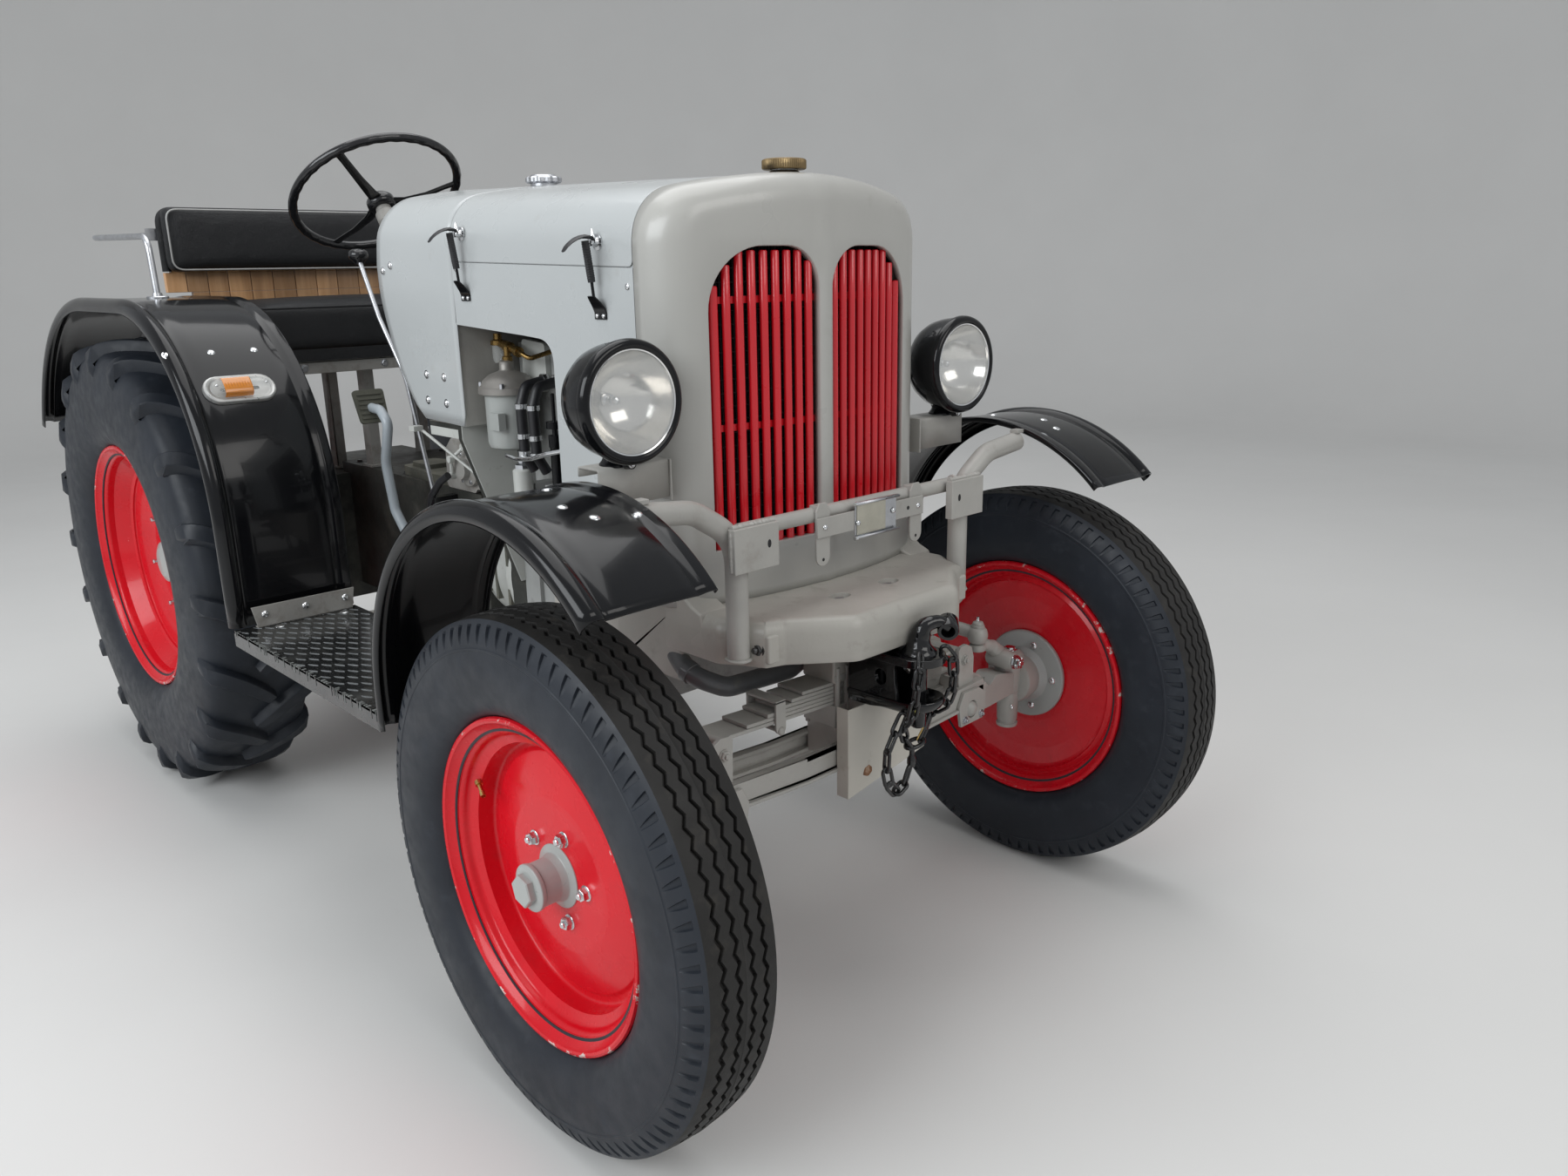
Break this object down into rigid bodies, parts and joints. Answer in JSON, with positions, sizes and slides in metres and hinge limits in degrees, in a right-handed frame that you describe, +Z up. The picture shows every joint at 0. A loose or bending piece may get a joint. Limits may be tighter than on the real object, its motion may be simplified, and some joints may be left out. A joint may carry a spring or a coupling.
{
  "type": "vintage farm tractor",
  "caption": "Small vintage farm tractor with rounded grille shell, open engine bay, bench seat, sheet fenders, footboards, sprung front axle, working steering and turning wheels.",
  "frame": {"origin": "on the ground under the middle of the tractor's overall length and width", "axes": "+Z up, the tractor faces -Y, its left side is +X, its rear and power take-off point along +Y"},
  "size_m": [1.49, 3.0858, 1.7182],
  "materials": {
    "grey_paint": "semi-gloss light grey",
    "red_paint": "gloss red",
    "black_paint": "gloss black",
    "black_rubber": "matt black",
    "black_plastic": "gloss black",
    "tyre": "bluish black",
    "brass": "dull",
    "zinc": "galvanised",
    "lamp_glass": "fluted",
    "amber_lens": "clear amber",
    "wood": "varnished",
    "upholstery": "black with light piping"
  },
  "bodies": {
    "chassis": {"engine": "grey_paint", "gearbox": "grey_paint", "rear_axle": "grey_paint", "front_casting": "grey_paint", "front_axle": "grey_paint", "leaf_spring": "grey_paint", "guard_plate": "grey_paint", "grille_shell": "grey_paint", "side_panels": "grey_paint", "cowl": "grey_paint", "fuel_tank": "grey_paint", "lamp_brackets": "grey_paint", "bumper": "grey_paint", "plate_holder": "grey_paint", "seat_frame": "grey_paint", "steering_column": "grey_paint", "pedals": "grey_paint", "fuel_filter": "grey_paint", "injection_pump": "grey_paint", "grille_bars": "red_paint", "radiator": "black_paint", "headlights": "black_paint", "tow_jaw": "black_paint", "tow_chain": "black_paint", "front_fenders": "black_paint", "rear_fenders": "black_paint", "footboards": "black_paint", "drawbar": "black_paint", "levers": "black_paint", "bonnet_latches": "black_rubber", "radiator_cap": "brass", "fuel_cap": "zinc", "armrests": "zinc", "headlight_glass": "lamp_glass", "turn_lamps": "amber_lens", "seat_boards": "wood", "seat_cushion": "upholstery", "seat_back": "upholstery"},
    "steer_body_right": {"knuckle_right": "grey_paint"},
    "steer_body_left": {"knuckle_left": "grey_paint"},
    "cross_rod": {"track_rod": "grey_paint"},
    "side_rod": {"drag_link": "grey_paint"},
    "steer_arm": {"drop_arm": "grey_paint"},
    "hand_wheel": {"steering_wheel": "black_plastic"},
    "hood": {"bonnet": "grey_paint"},
    "front_right": {"wheel_front_right": "red_paint", "tyre_front_right": "tyre"},
    "front_left": {"wheel_front_left": "red_paint", "tyre_front_left": "tyre"},
    "rear_right": {"wheel_rear_right": "red_paint", "tyre_rear_right": "tyre"},
    "rear_left": {"wheel_rear_left": "red_paint", "tyre_rear_left": "tyre"}
  },
  "joints": [
    {"name": "kingpin_right", "type": "hinge", "parent": "chassis", "child": "steer_body_right", "pos_m": [-0.585, -1.09793, 0.445], "axis": [0, 0, 1], "range_deg": [-28, 28]},
    {"name": "kingpin_left", "type": "hinge", "parent": "chassis", "child": "steer_body_left", "pos_m": [0.585, -1.09793, 0.445], "axis": [0, 0, 1], "range_deg": [-28, 28]},
    {"name": "track_rod_eye", "type": "hinge", "parent": "steer_body_right", "child": "cross_rod", "pos_m": [-0.585, -0.95793, 0.392], "axis": [0, 0, 1], "range_deg": [-28, 28]},
    {"name": "drag_link_ball", "type": "hinge", "parent": "steer_body_left", "child": "side_rod", "pos_m": [0.455, -1.09793, 0.5893], "axis": [0, 0, 1], "range_deg": [-28, 28]},
    {"name": "drop_arm_shaft", "type": "hinge", "parent": "chassis", "child": "steer_arm", "pos_m": [0.225, -0.09793, 0.905], "axis": [1, 0, 0], "range_deg": [-18, 18]},
    {"name": "steering_shaft", "type": "hinge", "parent": "chassis", "child": "hand_wheel", "pos_m": [-0.1, 0.46207, 1.588], "axis": [0, 0.5821, 0.8131], "range_deg": [-340, 340]},
    {"name": "bonnet_lift", "type": "slide", "parent": "chassis", "child": "hood", "axis": [0, 0, 1], "range_m": [0, 0.3]},
    {"name": "front_wheel_right", "type": "hinge", "parent": "steer_body_right", "child": "front_right", "pos_m": [-0.6605, -1.09793, 0.445], "axis": [1, 0, 0], "continuous": true},
    {"name": "front_wheel_left", "type": "hinge", "parent": "steer_body_left", "child": "front_left", "pos_m": [0.6605, -1.09793, 0.445], "axis": [1, 0, 0], "continuous": true},
    {"name": "rear_wheel_right", "type": "hinge", "parent": "chassis", "child": "rear_right", "pos_m": [-0.592, 0.90207, 0.617], "axis": [1, 0, 0], "continuous": true},
    {"name": "rear_wheel_left", "type": "hinge", "parent": "chassis", "child": "rear_left", "pos_m": [0.592, 0.90207, 0.617], "axis": [1, 0, 0], "continuous": true}
  ],
  "couplings": [
    {"joint": "kingpin_left", "follows": "kingpin_right", "ratio": 1},
    {"joint": "track_rod_eye", "follows": "kingpin_right", "ratio": -1},
    {"joint": "drag_link_ball", "follows": "kingpin_right", "ratio": -1},
    {"joint": "drop_arm_shaft", "follows": "kingpin_right", "ratio": -0.635},
    {"joint": "steering_shaft", "follows": "kingpin_right", "ratio": 12}
  ]
}
